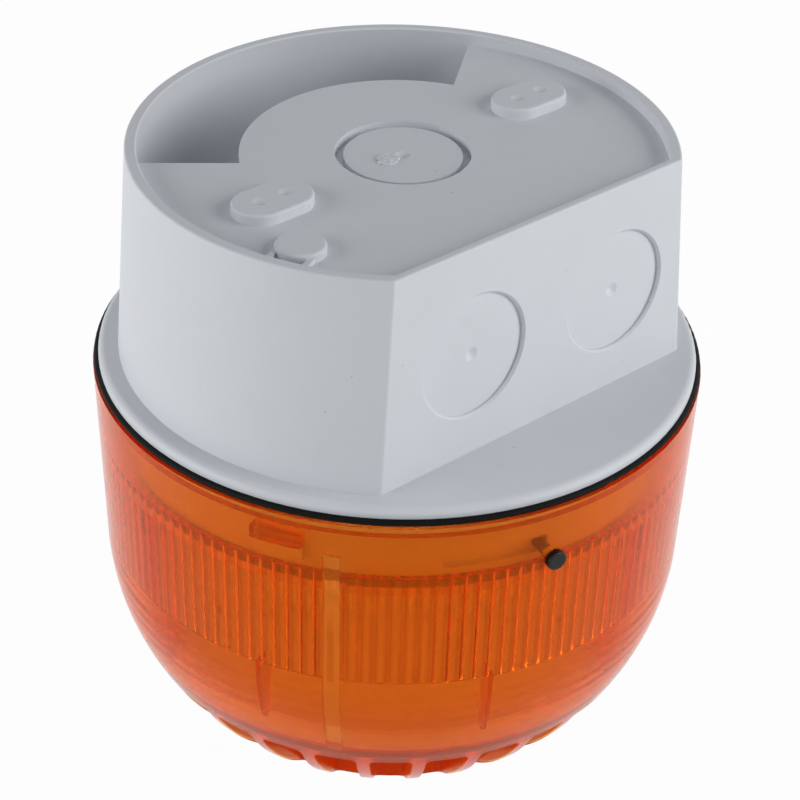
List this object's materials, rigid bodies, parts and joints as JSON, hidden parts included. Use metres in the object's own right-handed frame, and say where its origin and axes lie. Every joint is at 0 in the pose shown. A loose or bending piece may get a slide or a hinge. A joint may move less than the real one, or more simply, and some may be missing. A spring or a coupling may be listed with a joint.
{
  "type": "beacon sounder",
  "caption": "Beacon sounder with a grey drum base with a flat cable-entry side, and a twist-on amber domed lens with light flutes, sound slots and a push-in locking pin.",
  "frame": {"origin": "centre of the lens's end cap, on the surface that the beacon stands on", "axes": "+Z along the beacon's axis and out of the mounting face of the base, -Y out of the flat side with the two cable knockouts, +X along that flat"},
  "size_m": [0.1013, 0.1014, 0.113],
  "materials": {
    "base_plastic": "light grey moulded plastic, satin",
    "lens_amber": "clear amber polycarbonate, polished",
    "seal_rubber": "black rubber",
    "seal_silicone": "white silicone rubber",
    "pin_black": "black moulded plastic",
    "board_green": "green circuit board",
    "board_white": "white circuit board",
    "block_black": "black moulded plastic",
    "part_white": "white moulded plastic",
    "part_blue": "blue moulded plastic",
    "part_red": "red moulded plastic",
    "screw_steel": "zinc-plated steel",
    "contact_brass": "bare brass",
    "coil_copper": "enamelled copper",
    "can_aluminium": "drawn aluminium",
    "core_ferrite": "sintered ferrite",
    "varistor_blue": "coated ceramic disc",
    "fuse_ceramic": "ceramic tube with plated caps",
    "cone_film": "clear film",
    "led_lens": "phosphor under clear resin"
  },
  "bodies": {
    "base": {"base_housing": "base_plastic", "flange_seal": "seal_rubber", "terminal_board": "board_green", "terminal_board_screws": "screw_steel", "terminal_block": "block_black", "terminal_clamps": "contact_brass", "terminal_screws": "screw_steel", "contact_carrier": "block_black", "contact_springs": "contact_brass", "supply_capacitor": "can_aluminium", "suppression_choke": "core_ferrite", "surge_varistor": "varistor_blue", "fuse": "fuse_ceramic", "fuse_clips": "contact_brass"},
    "head": {"lens": "lens_amber", "baffle_seal": "seal_silicone", "sound_baffle": "part_white", "driver_frame": "part_white", "driver_screws": "screw_steel", "driver_yoke": "screw_steel", "driver_magnet": "core_ferrite", "pole_plate": "screw_steel", "voice_coil": "coil_copper", "diaphragm": "cone_film", "led_column": "part_white", "led_boards": "board_white", "leds": "led_lens", "head_board": "board_white", "board_screws": "screw_steel", "contact_pads": "contact_brass", "dip_switch_body": "part_red", "volume_trimmer_body": "part_blue", "control_chip": "block_black", "boost_inductor": "core_ferrite", "board_capacitors": "can_aluminium"},
    "lock_pin": {"lock_pin": "pin_black"},
    "volume_trimmer_rotor": {"volume_trimmer_rotor": "part_white"},
    "dip_slider_1": {"dip_slider_1": "part_white"},
    "dip_slider_2": {"dip_slider_2": "part_white"},
    "dip_slider_3": {"dip_slider_3": "part_white"},
    "dip_slider_4": {"dip_slider_4": "part_white"},
    "dip_slider_5": {"dip_slider_5": "part_white"}
  },
  "joints": [
    {"name": "head_twist", "type": "hinge", "parent": "base", "child": "head", "pos_m": [0, 0, 0.0742], "axis": [0, 0, 1], "range_deg": [-18, 0]},
    {"name": "lock_pin_pull", "type": "slide", "parent": "head", "child": "lock_pin", "axis": [-0.213, -0.977, 0], "range_m": [0, 0.005]},
    {"name": "volume_turn", "type": "hinge", "parent": "head", "child": "volume_trimmer_rotor", "pos_m": [-0.019, -0.006, 0.0646], "axis": [0, 0, 1], "range_deg": [-130, 130]},
    {"name": "dip_1_slide", "type": "slide", "parent": "head", "child": "dip_slider_1", "axis": [0, 1, 0], "range_m": [0, 0.002]},
    {"name": "dip_2_slide", "type": "slide", "parent": "head", "child": "dip_slider_2", "axis": [0, 1, 0], "range_m": [0, 0.002]},
    {"name": "dip_3_slide", "type": "slide", "parent": "head", "child": "dip_slider_3", "axis": [0, 1, 0], "range_m": [0, 0.002]},
    {"name": "dip_4_slide", "type": "slide", "parent": "head", "child": "dip_slider_4", "axis": [0, 1, 0], "range_m": [0, 0.002]},
    {"name": "dip_5_slide", "type": "slide", "parent": "head", "child": "dip_slider_5", "axis": [0, 1, 0], "range_m": [0, 0.002]}
  ]
}
